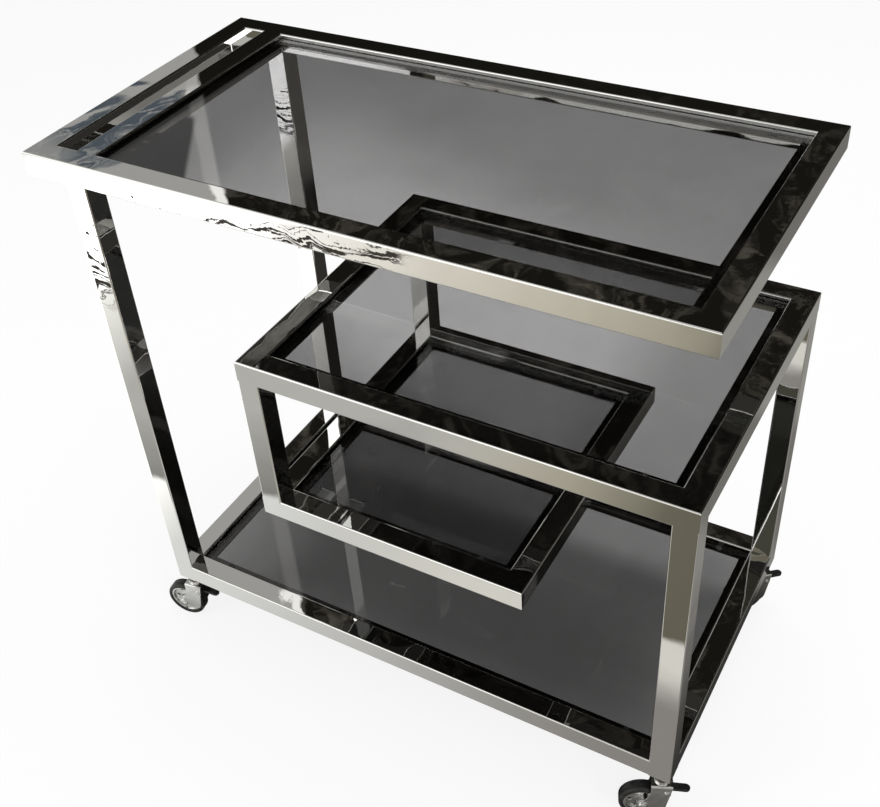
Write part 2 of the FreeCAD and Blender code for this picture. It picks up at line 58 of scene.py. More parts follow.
# %% [markdown]
# The camera stands at head height in front of the right end and looks down on the shelves. It could be set
# by eye, but chrome shows every small turn of the camera, so its place and turn were worked out from the
# corners of the trolley in the photograph. The angles are the tilt up from straight down, the small roll of
# a camera held by hand, and the turn to the left.

# %% Camera
CAMERA_PLACE = (0.64339, -1.05379, 1.43573)
CAMERA_ANGLES = (50.201, 3.3065, 29.351)
bpy.ops.object.camera_add(location=CAMERA_PLACE, rotation=[math.radians(angle) for angle in CAMERA_ANGLES])
camera = bpy.context.object
camera.data.sensor_width = 36
camera.data.sensor_fit = "HORIZONTAL"
camera.data.lens = 48.635
bpy.context.scene.camera = camera
bpy.context.scene.view_settings.view_transform = "Standard"
print("camera height", round(camera.location.z, 2), "m, lens", round(camera.data.lens, 1), "mm")

# %% [markdown]
# Chrome and dark glass have almost no colour of their own: what they show is the room. A room could be built
# from walls and cards, but the sky of the scene can hold it as well, as a few masks of direction with soft
# edges. Such masks are node trees, and so are the finishes, so the first cell makes short helpers for nodes.

# %% Helpers for nodes
def empty_tree(owner):
    """The node tree of a world or a material, cleared."""
    owner.use_nodes = True
    owner.node_tree.nodes.clear()
    return owner.node_tree


def new_node(tree, kind, **values):
    """Add a node. A value named in_ and an input goes to that input, as a constant or as a link."""
    node = tree.nodes.new(kind)
    for name, value in values.items():
        if not name.startswith("in_"):
            setattr(node, name, value)
            continue
        key = name[3:]
        socket = node.inputs[int(key) if key.isdigit() else key.replace("_", " ")]
        if isinstance(value, bpy.types.NodeSocket):
            tree.links.new(value, socket)
        else:
            socket.default_value = value
    return node


def work_out(tree, operation, first, second=0.0, clamp=False):
    node = new_node(tree, "ShaderNodeMath", operation=operation, use_clamp=clamp, in_0=first, in_1=second)
    return node.outputs[0]


def times(tree, product, *factors):
    for factor in factors:
        product = work_out(tree, "MULTIPLY", product, factor)
    return product


print("node helpers: empty_tree, new_node, work_out, times")

# %% [markdown]
# A mask is a value from 0 to 1. An ease runs it softly from one end to the other, a zone is where several
# eases have all come to their ends, and a blend mixes two colours by a mask.

# %% Masks and blends
def ease(tree, value, start, end, low=0.0, high=1.0):
    ends = {"in_From_Min": start, "in_From_Max": end, "in_To_Min": low, "in_To_Max": high}
    node = new_node(tree, "ShaderNodeMapRange", interpolation_type="SMOOTHSTEP", in_Value=value, **ends)
    return node.outputs["Result"]


def zone(tree, *runs):
    return times(tree, *[ease(tree, *run) for run in runs])


def blend_colour(tree, mask, first, second):
    node = new_node(tree, "ShaderNodeMix", data_type="RGBA", in_Factor=mask)
    for socket, value in ((node.inputs["A"], first), (node.inputs["B"], second)):
        if isinstance(value, tuple):
            socket.default_value = (*value, 1)
        else:
            tree.links.new(value, socket)
    return node.outputs["Result"]


def noise(tree, vector, **values):
    return new_node(tree, "ShaderNodeTexNoise", in_Vector=vector, **values).outputs["Fac"]


print("mask helpers: ease, zone, blend_colour, noise")

# %% [markdown]
# The studio is dark behind the trolley, has a pale wall far to the left, and is light in front and overhead.
# The edge of the pale wall lies at one compass angle for every rail. So toward_wall is 0 at that edge and
# grows into the wall, and all that belongs to the wall is placed by it.

# %% Directions in the room
WALL_EDGE = math.radians(133)
bpy.context.scene.world = bpy.data.worlds.new("studio_room")
room = empty_tree(bpy.context.scene.world)
look = new_node(room, "ShaderNodeTexCoord").outputs["Generated"]
east, north, up = new_node(room, "ShaderNodeSeparateXYZ", in_0=look).outputs
eastward, northward = times(room, east, -math.sin(WALL_EDGE)), times(room, north, math.cos(WALL_EDGE))
toward_wall = work_out(room, "ADD", eastward, northward)
pale_side = ease(room, toward_wall, -0.004, 0.0)
front_side = ease(room, north, 0.15, -0.05)
overhead = ease(room, up, 0.9, 0.97)
beside_wall = work_out(room, "SUBTRACT", 1.0, pale_side, clamp=True)
behind = work_out(room, "SUBTRACT", beside_wall, front_side, clamp=True)
dark_part = work_out(room, "SUBTRACT", behind, overhead, clamp=True)
print("nodes for directions:", len(room.nodes))

# %% [markdown]
# The dark part isn't even: the tops of the rails show a faint marbling in it. A bent noise does that better
# than a painted picture, because it has no edge and no size of its own. It is kept to the height that the
# tops of the rails see, so the glass stays calm.

# %% Dark part with marbling
DARK, MARBLED = (0.008, 0.0075, 0.006), (0.062, 0.056, 0.046)
MARBLE = {"in_Scale": 22, "in_Detail": 5, "in_Roughness": 0.6, "in_Distortion": 2.2}
marble_mask = zone(room, (noise(room, look, **MARBLE), 0.45, 0.7), (up, 0.4, 0.52))
dark_colour = blend_colour(room, marble_mask, DARK, MARBLED)
print("marbling: noise of scale", MARBLE["in_Scale"])

# %% [markdown]
# The push handle shows the pale wall. Right at its edge the wall is bright, and further in a band of bluish
# dark streaks crosses it. The handle's mirror directions climb a little on their way along the handle, so
# the height in the band is counted from a line that climbs with them. The streaks are a noise drawn out
# along the band, and the band's own end runs aslant.

# %% Pale wall with streaks
PALE, BLUISH, GLARE = (0.33, 0.325, 0.31), (0.07, 0.085, 0.1), (0.85, 0.84, 0.8)
STREAKS = {"in_Scale": 1, "in_Detail": 4, "in_Roughness": 0.6, "in_Distortion": 0.8}
band_height = work_out(room, "SUBTRACT", up, times(room, toward_wall, 0.35))
streak_x, streak_y = times(room, toward_wall, 9.0), times(room, band_height, 110.0)
streak_place = new_node(room, "ShaderNodeCombineXYZ", in_0=streak_x, in_1=streak_y).outputs[0]
aslant = work_out(room, "ADD", toward_wall, times(room, band_height, 1.75))
band = zone(
    room,
    (band_height, 0.366, 0.372),
    (band_height, 0.416, 0.404),
    (aslant, 0.706, 0.722),
    (toward_wall, 0.135, 0.1, 0.3, 1.0),
    (noise(room, streak_place, **STREAKS), 0.36, 0.52),
)
wall_start = zone(room, (toward_wall, -0.006, -0.002), (toward_wall, 0.012, 0.008), (up, 0.38, 0.45))
wall_colour = blend_colour(room, band, PALE, BLUISH)
wall_colour = blend_colour(room, wall_start, wall_colour, GLARE)
print("wall edge at", round(math.degrees(WALL_EDGE)), "degrees")

# %% [markdown]
# The light front reaches the camera over rounded edges and by two mirrors in turn. It is an even pale grey
# with a brighter patch to the left, and a small dark olive one that shows as the dark foot of the back right
# leg. Each patch is round, so it is placed by the angle between the ray and the middle of the patch.

# %% Light front
LIGHT, BRIGHT, OLIVE = (0.5, 0.49, 0.46), (1.2, 1.2, 1.16), (0.055, 0.055, 0.042)
BRIGHT_AIM, OLIVE_AIM = (-0.56, -0.74, 0.42), (-0.135, -0.694, 0.707)


def nearness(tree, direction, aim):
    """How near a direction comes to an aim: 1 straight at it, less beside it."""
    middle = tuple(Vector(aim).normalized())
    node = new_node(tree, "ShaderNodeVectorMath", operation="DOT_PRODUCT", in_0=direction, in_1=middle)
    return node.outputs["Value"]


bright_patch = ease(room, nearness(room, look, BRIGHT_AIM), 0.86, 0.93)
olive_patch = ease(room, nearness(room, look, OLIVE_AIM), 0.985, 0.992)
light_colour = blend_colour(room, bright_patch, LIGHT, BRIGHT)
light_colour = blend_colour(room, olive_patch, light_colour, OLIVE)
wall_part = times(room, pale_side, ease(room, north, 0.2, 0.3))
bright_colour = blend_colour(room, wall_part, light_colour, wall_colour)
mirrored = blend_colour(room, dark_part, bright_colour, dark_colour)
print("room nodes so far:", len(room.nodes))

# %% [markdown]
# Only mirrored and refracted rays see this room. The camera sees plain white past the floor, and all matt
# pieces get an even light, as from a white tent. The Light Path node tells the kinds of rays apart.

# %% Sky
WHITE, TENT = (1.0, 1.0, 1.0), (0.5, 0.5, 0.5)
rays = new_node(room, "ShaderNodeLightPath").outputs
seen_in_finish = work_out(room, "ADD", rays["Is Glossy Ray"], rays["Is Transmission Ray"], clamp=True)
even_light = blend_colour(room, rays["Is Camera Ray"], TENT, WHITE)
sky_colour = blend_colour(room, seen_in_finish, even_light, mirrored)
sky = new_node(room, "ShaderNodeBackground", in_Color=sky_colour)
new_node(room, "ShaderNodeOutputWorld", in_Surface=sky.outputs[0])
print("room nodes:", len(room.nodes))

# %% [markdown]
# The floor is a big sheet of white paper. Seen straight it is white, with the soft shadow of the trolley
# still on it. In the chrome it isn't plain, and coloured cards on it would show in the picture. So the
# mirrored colours sit in the floor's own material, by place, and mirrored rays alone find them.

# %% Floor sheet
bpy.ops.mesh.primitive_circle_add(vertices=96, radius=14, fill_type="NGON")
floor = bpy.context.object
floor.name = "paper_floor"
paper = bpy.data.materials.new("white_paper")
tree = empty_tree(paper)
place = new_node(tree, "ShaderNodeTexCoord").outputs["Object"]
floor_x, floor_y, _ = new_node(tree, "ShaderNodeSeparateXYZ", in_0=place).outputs
print("floor radius", round(floor.dimensions.x / 2, 1), "m")

# %% [markdown]
# The front faces of rails and legs look down on the floor in front. From left to right it turns from white
# through cream to a dark olive grey, which a colour ramp gives. The posts see a greyer piece of it at the
# left, which darkens toward the trolley with a painted shade and gives them their gradient.

# %% Floor further in front
PAPER_RUN = (
    (0.2, (0.42, 0.41, 0.385)), (0.45, (0.28, 0.265, 0.23)), (0.7, (0.2, 0.185, 0.15)),
    (0.83, (0.15, 0.14, 0.11)), (0.94, (0.06, 0.056, 0.042)),
)
PAPER_END, SHADE = (0.054, 0.05, 0.037), (0.01, 0.01, 0.009)
GREY_LEFT, GREY_RIGHT = (0.39, 0.385, 0.36), (0.185, 0.183, 0.17)


def ease_straight(tree, value, start, end):
    node = new_node(tree, "ShaderNodeMapRange", in_Value=value, in_From_Min=start, in_From_Max=end)
    return node.outputs["Result"]


paper_run = new_node(tree, "ShaderNodeValToRGB", in_0=ease_straight(tree, floor_x, -1.2, 0.3))
stops = paper_run.color_ramp.elements
stops[0].color, stops[1].color = (*WHITE, 1), (*PAPER_END, 1)
for position, colour in PAPER_RUN:
    stops.new(position).color = (*colour, 1)
grey_piece = zone(tree, (floor_y, -0.98, -0.86), (floor_x, 0.05, -0.3), (floor_x, -1.2, -1.12))
grey_run = ease_straight(tree, floor_x, -1.12, -0.86)
grey_colour = blend_colour(tree, grey_run, GREY_LEFT, GREY_RIGHT)
far_floor = blend_colour(tree, grey_piece, paper_run.outputs[0], grey_colour)
# Painted shade: the mirrored floor darkens toward the trolley.
toward_trolley = work_out(tree, "ADD", floor_y, times(tree, floor_x, 0.4))
shade = times(tree, ease_straight(tree, toward_trolley, -0.91, -0.66), ease(tree, floor_x, -0.2, -0.35), 0.55)
far_floor = blend_colour(tree, shade, far_floor, SHADE)
print("stops in the paper run:", len(stops))

# %% [markdown]
# Close to the trolley the mirror images step to another tone: the front right leg has a clear mark there.
# The step is a line on the floor that runs aslant at the left and straight at the right. Inside it the floor
# goes from grey to a darker grey, with a paler strip at its outer edge on the right and white at the left.

# %% Floor close in front
NEAR_LEFT, NEAR_RIGHT = (0.29, 0.29, 0.28), (0.1, 0.095, 0.088)
STRIP, NEAR_WHITE = (0.27, 0.265, 0.24), (1.0, 0.98, 0.93)
slanted_step = work_out(tree, "SUBTRACT", -0.5975, times(tree, floor_x, 0.25))
step_line = work_out(tree, "MAXIMUM", slanted_step, -0.505)
close_by = ease(tree, work_out(tree, "SUBTRACT", floor_y, step_line), -0.01, 0.01)
near_colour = blend_colour(tree, ease(tree, floor_x, -0.5, 0.35), NEAR_LEFT, NEAR_RIGHT)
pale_strip = zone(tree, (floor_y, -0.38, -0.46), (floor_x, -0.4, 0.0))
near_colour = blend_colour(tree, pale_strip, near_colour, STRIP)
near_colour = blend_colour(tree, ease_straight(tree, floor_x, -1.0, -0.5), NEAR_WHITE, near_colour)
front_floor = blend_colour(tree, close_by, far_floor, near_colour)
print("floor nodes so far:", len(tree.nodes))

# %% [markdown]
# The right faces look past the right end to the floor behind, whose grey changes three times from near to
# far. Straight behind the trolley it is dark, and so it is beneath, where little light comes in.

# %% Floor behind and beneath
BEHIND, BENEATH = (0.012, 0.011, 0.01), (0.012, 0.012, 0.011)
RIGHT_RUN = (
    (0.28, 0.36, (0.068, 0.066, 0.06)), (0.6, 0.68, (0.113, 0.11, 0.1)), (1.04, 1.2, (0.068, 0.065, 0.06)),
)
right_run = (0.1, 0.097, 0.09)
for start, end, grey in RIGHT_RUN:
    right_run = blend_colour(tree, ease(tree, floor_y, start, end), right_run, grey)
back_floor = blend_colour(tree, ease(tree, floor_x, 0.25, 0.42), BEHIND, right_run)
mirrored_floor = blend_colour(tree, ease(tree, floor_y, 0.0, 0.3), front_floor, back_floor)
off_middle = work_out(tree, "ABSOLUTE", floor_y)
beneath = zone(tree, (floor_x, 0.55, 0.42), (floor_x, -0.46, -0.38), (off_middle, 0.27, 0.2))
mirrored_floor = blend_colour(tree, beneath, mirrored_floor, BENEATH)
print("floor nodes so far:", len(tree.nodes))

# %% [markdown]
# Two places at the left show thin dark wavy lines: the top front rail near the handle and the front left
# leg. The middle level of a stretched noise is such a line, so the lines are drawn where the noise is close
# to one half. They are finer at the left and thicken at one spot, and they stay inside a patch of the
# floor. At the far left the floor is plain grey again.

# %% Wavy lines and the far left
LINE, FAR_GREY, THICK_SPOT = (0.02, 0.018, 0.015), (0.24, 0.235, 0.22), (-1.2, -0.92, 0.0)
LINE_NOISE = {"in_Scale": 1.3, "in_Detail": 2.0, "in_Roughness": 0.5, "in_Distortion": 2.4}
drawn_out = new_node(tree, "ShaderNodeVectorMath", operation="MULTIPLY", in_0=place, in_1=(1.6, 11.0, 1.0))
wave_level = noise(tree, drawn_out.outputs[0], **LINE_NOISE)
off_line = work_out(tree, "ABSOLUTE", work_out(tree, "SUBTRACT", wave_level, 0.5))
off_spot = new_node(tree, "ShaderNodeVectorMath", operation="DISTANCE", in_0=place, in_1=THICK_SPOT)
fineness = zone(tree, (floor_x, -1.0, -0.85, 1.0, 0.5), (off_spot.outputs["Value"], 0.08, 0.16, 0.4, 1.0))
off_patch = work_out(tree, "ABSOLUTE", work_out(tree, "ADD", floor_x, 0.98))
from_front = work_out(tree, "ADD", floor_y, times(tree, floor_x, 0.12))
wavy_lines = zone(
    tree,
    (times(tree, off_line, fineness), 0.03, 0.018),
    (off_patch, 0.42, 0.36),
    (floor_y, -0.8, -0.86),
    (from_front, -1.369, -1.352),
)
mirrored_floor = blend_colour(tree, wavy_lines, mirrored_floor, LINE)
far_left = zone(tree, (floor_x, -1.5, -1.9), (floor_y, 0.6, 0.35))
mirrored_floor = blend_colour(tree, far_left, mirrored_floor, FAR_GREY)
print("wavy lines: noise of scale", LINE_NOISE["in_Scale"])

# %% [markdown]
# The glass lets the floor behind the trolley show through, darker than the paper seen straight. Through the
# top pane it is lightest in a broad stripe, and it ends at a slanted edge at the far left, past which it is
# nearly black. What a mirror shows of the floor through a pane is darker still.

# %% Floor behind the glass
SEEN, PAST_EDGE, SEEN_TWICE = (0.6, 0.6, 0.6), (0.015, 0.021, 0.026), (0.06, 0.06, 0.055)
edge_x = times(tree, work_out(tree, "SUBTRACT", 1.186, floor_y), 0.67)
past_edge = work_out(tree, "SUBTRACT", edge_x, work_out(tree, "ADD", floor_x, 1.476))
off_paper = zone(tree, (past_edge, -0.01, 0.01), (floor_y, 1.2, 1.16))
across_stripe = work_out(tree, "ADD", times(tree, floor_x, 0.36), times(tree, floor_y, 0.93))
stripe_sides = ((across_stripe, 1.05, 0.6), (across_stripe, 0.15, 0.35))
lit_stripe = zone(tree, *stripe_sides, (floor_x, 0.12, -0.1), (floor_x, -1.4, -0.95))
seen_through = blend_colour(tree, lit_stripe, SEEN, WHITE)
seen_through = blend_colour(tree, off_paper, seen_through, PAST_EDGE)
rays = new_node(tree, "ShaderNodeLightPath").outputs
through = rays["Is Transmission Ray"]
mirrored_through = work_out(tree, "MULTIPLY", through, rays["Glossy Depth"], clamp=True)
seen_through = blend_colour(tree, mirrored_through, seen_through, SEEN_TWICE)
print("floor nodes so far:", len(tree.nodes))

# %% [markdown]
# The floor is part lamp, part paper. Matt paper takes the shadow but turns grey away from the lamps, so most
# of what the camera sees is glow, which keeps it white, and a small share is matt, which keeps the shadow.
# Mirrored rays find glow alone.

# %% Floor material
GLOW_SHARE, GLOW_SHARE_THROUGH, MIRROR_GAIN, MATT_WHITE = 0.85, 0.15, 1.4, (0.86, 0.86, 0.86)
mirror = work_out(tree, "SUBTRACT", rays["Is Glossy Ray"], through, clamp=True)
glow_colour = blend_colour(tree, through, WHITE, seen_through)
glow_colour = blend_colour(tree, mirror, glow_colour, mirrored_floor)
glow_strength = work_out(tree, "ADD", 1.0, times(tree, mirror, MIRROR_GAIN))
glow = new_node(tree, "ShaderNodeEmission", in_Color=glow_colour, in_Strength=glow_strength)
matt_colour = blend_colour(tree, through, MATT_WHITE, seen_through)
matt = new_node(tree, "ShaderNodeBsdfDiffuse", in_Color=matt_colour)
share = work_out(tree, "ADD", times(tree, rays["Is Camera Ray"], GLOW_SHARE), mirror)
straight_through = work_out(tree, "SUBTRACT", through, mirrored_through, clamp=True)
share = work_out(tree, "ADD", share, times(tree, straight_through, GLOW_SHARE_THROUGH))
both = new_node(tree, "ShaderNodeMixShader", in_0=share, in_1=matt.outputs[0], in_2=glow.outputs[0])
new_node(tree, "ShaderNodeOutputMaterial", in_Surface=both.outputs[0])
floor.data.materials.append(paper)
print("floor nodes:", len(tree.nodes))

# %% [markdown]
# Three soft lamps light the tyres, the levers and the floor. The chrome and the glass would show each lamp as
# a hard white disc that the photograph doesn't have, so mirrored and refracted rays don't see them.

# %% Lamps
def soft_lamp(name, place, aim, width, watts):
    bpy.ops.object.light_add(type="AREA", location=place)
    lamp = bpy.context.object
    lamp.name = name
    lamp.data.shape = "DISK"
    lamp.data.size = width
    lamp.data.energy = watts
    lamp.rotation_euler = (Vector(aim) - Vector(place)).to_track_quat("-Z", "Y").to_euler()
    lamp.visible_glossy = False
    lamp.visible_transmission = False


soft_lamp("key_lamp", (-2.4, -3.2, 2.3), (0, 0, 0.6), 1.7, 60)
soft_lamp("fill_lamp", (2.6, -1.6, 2.2), (0, 0, 0.3), 1.8, 30)
soft_lamp("top_lamp", (0.3, 0.6, 3.2), (0, 0, 0), 2.4, 60)

# %% [markdown]
# Polished tube is never quite flat: drawing and polishing leave long shallow waves, and they bend what the
# tube mirrors into squiggles. Waves in the mesh would need very many faces, so a Bump node bends the shine
# instead. The same effect serves tubes, forks and wheels, so it is one node group that puts out a height.

# %% Group: polishing waves
def new_group(name, inputs, output):
    """A node group that takes a Vector and some numbers, and puts out one number."""
    group = bpy.data.node_groups.new(name, "ShaderNodeTree")
    group.interface.new_socket("Vector", in_out="INPUT", socket_type="NodeSocketVector")
    for label, value in inputs.items():
        socket = group.interface.new_socket(label, in_out="INPUT", socket_type="NodeSocketFloat")
        socket.default_value = value
    group.interface.new_socket(output, in_out="OUTPUT", socket_type="NodeSocketFloat")
    return group, new_node(group, "NodeGroupInput").outputs


waves, given = new_group("polishing_waves", {"Wave Scale": 18.0, "Fine Share": 0.03}, "Height")
long_look = {"in_Scale": given["Wave Scale"], "in_Detail": 1.0, "in_Roughness": 0.35, "in_Distortion": 0.3}
short_look = {"in_Scale": times(waves, given["Wave Scale"], 5.0), "in_Detail": 2.0, "in_Roughness": 0.5}
fine_waves = times(waves, noise(waves, given["Vector"], **short_look), given["Fine Share"])
height = work_out(waves, "ADD", noise(waves, given["Vector"], **long_look), fine_waves)
new_node(waves, "NodeGroupOutput", in_Height=height)
print("polishing waves:", len(waves.nodes), "nodes")

# %% [markdown]
# Handling leaves a faint film on everything: finger marks, dust and dried water. It hardly changes the
# colour, but it makes the shine a little softer in patches. The group gives a mask from 0, clean, to 1, dull.

# %% Group: handling film
film, given = new_group("handling_film", {"Patch Scale": 14.0, "Cover": 0.4}, "Mask")
patch_look = {"in_Scale": given["Patch Scale"], "in_Detail": 4.0, "in_Roughness": 0.6, "in_Distortion": 0.5}
speck_look = {"in_Scale": times(film, given["Patch Scale"], 22.0), "in_Detail": 2.0, "in_Roughness": 0.7}
cloud = ease(film, noise(film, given["Vector"], **patch_look), 0.42, 0.7)
dust = ease(film, noise(film, given["Vector"], **speck_look), 0.62, 0.8)
marks = work_out(film, "ADD", cloud, times(film, dust, 0.5), clamp=True)
mask = work_out(film, "MULTIPLY", marks, given["Cover"], clamp=True)
new_node(film, "NodeGroupOutput", in_Mask=mask)
print("handling film:", len(film.nodes), "nodes")

# %% [markdown]
# Every finish starts from one shader and reads Object coordinates, so a pattern stays where it is on its
# piece. A mask leads the shader from clean to dull, and a height raises the surface.

# %% Helpers for finishes
def finish_material(name):
    material = bpy.data.materials.new(name)
    tree = empty_tree(material)
    shader = new_node(tree, "ShaderNodeBsdfPrincipled")
    output = new_node(tree, "ShaderNodeOutputMaterial", in_Surface=shader.outputs[0])
    return material, tree, shader, new_node(tree, "ShaderNodeTexCoord").outputs["Object"], output


def use_group(tree, group, vector, **values):
    return new_node(tree, "ShaderNodeGroup", node_tree=group, in_Vector=vector, **values).outputs[0]


def dress(tree, shader, mask, colours, rough, rough_spread):
    tree.links.new(blend_colour(tree, mask, *colours), shader.inputs["Base Color"])
    tree.links.new(ease(tree, mask, 0.0, 1.0, rough, rough + rough_spread), shader.inputs["Roughness"])


def raise_surface(tree, shader, height, strength, depth):
    bump = new_node(tree, "ShaderNodeBump", in_Strength=strength, in_Distance=depth, in_Height=height)
    tree.links.new(bump.outputs[0], shader.inputs["Normal"])


print("finish helpers: finish_material, use_group, dress, raise_surface")

# %% [markdown]
# Chrome plate on steel is a mirror with a slightly cool colour. The waves bend it, and the film softens it in
# patches. The same recipe with other numbers serves the ledges, the forks and the pins, so each metal is one
# row: clean colour, dull colour, roughness and its spread, scale and depth of the waves, scale and cover of
# the film.

# %% Metals
METALS = {
    "polished_tube": ((0.95, 0.95, 0.945), (0.88, 0.88, 0.87), 0.006, 0.05, 16, 0.00045, 11, 0.35),
    "ledge_steel": ((0.6, 0.6, 0.6), (0.5, 0.5, 0.49), 0.12, 0.2, 30, 0.0003, 20, 0.5),
    "insert_steel": ((0.5, 0.5, 0.5), (0.42, 0.42, 0.4), 0.3, 0.2, 60, 0.0002, 40, 0.6),
    # The stems' dark colour is painted shade: the necks stand in the shade between leg and crown and mirror
    # dark, so the steel is made this dark.
    "stem_steel": ((0.2, 0.2, 0.2), (0.13, 0.13, 0.125), 0.25, 0.25, 60, 0.0002, 40, 0.6),
    "washer_bronze": ((0.6, 0.45, 0.25), (0.4, 0.3, 0.18), 0.35, 0.2, 60, 0.0002, 60, 0.6),
    "chromed_fork": ((0.86, 0.86, 0.86), (0.7, 0.7, 0.69), 0.06, 0.14, 55, 0.0002, 45, 0.5),
    "wheel_centre": ((0.85, 0.85, 0.85), (0.66, 0.66, 0.65), 0.1, 0.16, 60, 0.0002, 45, 0.5),
    "pin_steel": ((0.8, 0.8, 0.8), (0.6, 0.6, 0.59), 0.12, 0.16, 80, 0.0001, 60, 0.5),
}


def metal(name, clean, dull, rough, rough_spread, wave_scale, wave_depth, film_scale, cover):
    material, tree, shader, vector, _ = finish_material(name)
    shader.inputs["Metallic"].default_value = 1.0
    mask = use_group(tree, film, vector, in_Patch_Scale=film_scale, in_Cover=cover)
    dress(tree, shader, mask, (clean, dull), rough, rough_spread)
    raise_surface(tree, shader, use_group(tree, waves, vector, in_Wave_Scale=wave_scale), 1.0, wave_depth)
    return material


finishes = {name: metal(name, *recipe) for name, recipe in METALS.items()}
print("metal finishes:", sorted(finishes))

# %% [markdown]
# Smoked glass is grey all through, so each pane lets about a quarter of the light pass and the panes get
# darker where they overlap. A glass shader does that with its base colour. Its shadow would come out black,
# because the renderer doesn't follow light through glass to the floor, so shadow rays meet a tinted
# see-through surface.

# %% Smoked glass
GLASS_CLEAN, GLASS_DULL, SHADOW_TINT = (0.35, 0.347, 0.347), (0.325, 0.322, 0.322), (0.47, 0.47, 0.47, 1)
glass, tree, shader, vector, output = finish_material("smoked_glass")
shader.inputs["Transmission Weight"].default_value = 1.0
shader.inputs["IOR"].default_value = 1.52
tint = use_group(tree, film, vector, in_Patch_Scale=7, in_Cover=1.0)
tree.links.new(blend_colour(tree, tint, GLASS_CLEAN, GLASS_DULL), shader.inputs["Base Color"])
smear = use_group(tree, film, vector, in_Patch_Scale=9, in_Cover=0.5)
tree.links.new(ease(tree, smear, 0.0, 1.0, 0.0, 0.03), shader.inputs["Roughness"])
shadow_ray = new_node(tree, "ShaderNodeLightPath").outputs["Is Shadow Ray"]
see_through = new_node(tree, "ShaderNodeBsdfTransparent", in_Color=SHADOW_TINT).outputs[0]
either = new_node(tree, "ShaderNodeMixShader", in_0=shadow_ray, in_1=shader.outputs[0], in_2=see_through)
tree.links.new(either.outputs[0], output.inputs["Surface"])
finishes["smoked_glass"] = glass
print("glass nodes:", len(tree.nodes))

# %% [markdown]
# The tyres are black rubber that has gone slightly grey, the levers black moulded plastic with a soft gloss,
# and the bumper pads clear soft plastic. All three have the fine grain of their mould. Their shared film is
# fine and thick, because dust clings to rubber and plastic.

# %% Rubber and plastics
MOULDED = {
    "tyre_rubber": ((0.012, 0.012, 0.012), (0.035, 0.034, 0.033), 0.42, 0.25, 900, 0.0003),
    "lever_plastic": ((0.01, 0.01, 0.01), (0.022, 0.022, 0.022), 0.28, 0.2, 1400, 0.0001),
    "clear_pad": ((0.75, 0.76, 0.76), (0.6, 0.6, 0.6), 0.25, 0.2, 600, 0.0001),
}


def moulded(name, clean, worn, rough, rough_spread, grain_scale, grain_depth):
    material, tree, shader, vector, _ = finish_material(name)
    mask = use_group(tree, film, vector, in_Patch_Scale=60, in_Cover=0.9)
    dress(tree, shader, mask, (clean, worn), rough, rough_spread)
    grain = noise(tree, vector, in_Scale=grain_scale, in_Detail=3.0)
    raise_surface(tree, shader, grain, 0.5, grain_depth)
    return material


for name, recipe in MOULDED.items():
    finishes[name] = moulded(name, *recipe)
print("finishes:", len(finishes))

# %% [markdown]
# The record of the CAD model names a material slot for every solid, and the finishes bear the same names. So
# no solid is named here: each one takes the finish that its slot asks for.

# %% Finish the solids
for name, node in frame["nodes"].items():
    node.data.materials.clear()
    node.data.materials.append(finishes[slot_of[name]])
print("finished solids:", len(frame["nodes"]))

# %% [markdown]
# The casters carry the finest detail of the trolley. Each has a rubber tyre on a bright pierced wheel, a
# pressed fork, a riveted axle, a black brake lever and a stem with flats for a spanner. All four are alike,
# so each piece is modelled once, in a caster whose stem stands at the origin and whose lever points along +X,
# and is then copied to its corner, under the middle of the leg. Lengths are in millimetres, as a drawing of
# the part would give them.

# %% Caster sizes
from mathutils import Matrix

MM = 0.001
HAIR = 0.01 * MM
WHEEL_RADIUS, TRAIL = 31, 23
AXLE = (-TRAIL, 0, WHEEL_RADIUS)
PIN_STAND_OFF, PIN_BEARING = 10.7, math.radians(44)
PIN_ARM = WHEEL_RADIUS + PIN_STAND_OFF
PIN = (PIN_ARM * math.cos(PIN_BEARING) - TRAIL, 0, PIN_ARM * math.sin(PIN_BEARING) + WHEEL_RADIUS)
CASTER_TURNS = {"front_left": 8, "front_right": 24, "back_right": 44, "back_left": -24}


def under_leg(corner):
    low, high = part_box(f"{corner}_leg")
    middle = (Vector(low) + Vector(high)) / 2
    return Matrix.Translation((middle.x, middle.y, 0))


print("lever pin at", [round(v, 2) for v in PIN], "mm")

# %% [markdown]
# Operators act on what is selected. So each step says first which piece is taken and, in edit mode, which of
# its parts are picked, by a test on their place or direction.

# %% Taking and picking
import bmesh


def leave_edit_mode():
    if bpy.context.object and bpy.context.object.mode == "EDIT":
        bpy.ops.object.mode_set(mode="OBJECT")
    bpy.ops.object.select_all(action="DESELECT")


def take(piece, mode="OBJECT"):
    """Select one piece alone, and open it in edit mode if asked."""
    leave_edit_mode()
    piece.select_set(True)
    bpy.context.view_layer.objects.active = piece
    bpy.ops.object.mode_set(mode=mode)


def pick(piece, kind, test):
    """In edit mode, select the vertices, edges or faces that pass a test."""
    bpy.ops.mesh.select_mode(type=kind)
    bpy.ops.mesh.select_all(action="DESELECT")
    shape = bmesh.from_edit_mesh(piece.data)
    for item in {"VERT": shape.verts, "EDGE": shape.edges, "FACE": shape.faces}[kind]:
        item.select_set(test(item))
    shape.select_flush_mode()
    bmesh.update_edit_mesh(piece.data)


def pick_all():
    bpy.ops.mesh.select_all(action="SELECT")


print("picking is exact to", round(HAIR / MM, 3), "mm")

# %% [markdown]
# A turned or pressed piece starts as an outline. An outline could be typed in as a mesh, but by hand one
# draws it: a single vertex is extruded from corner to corner, the face is filled, and the corners that need
# it are rounded with a vertex bevel.

# %% Outlines
CORNER_STEPS = 6


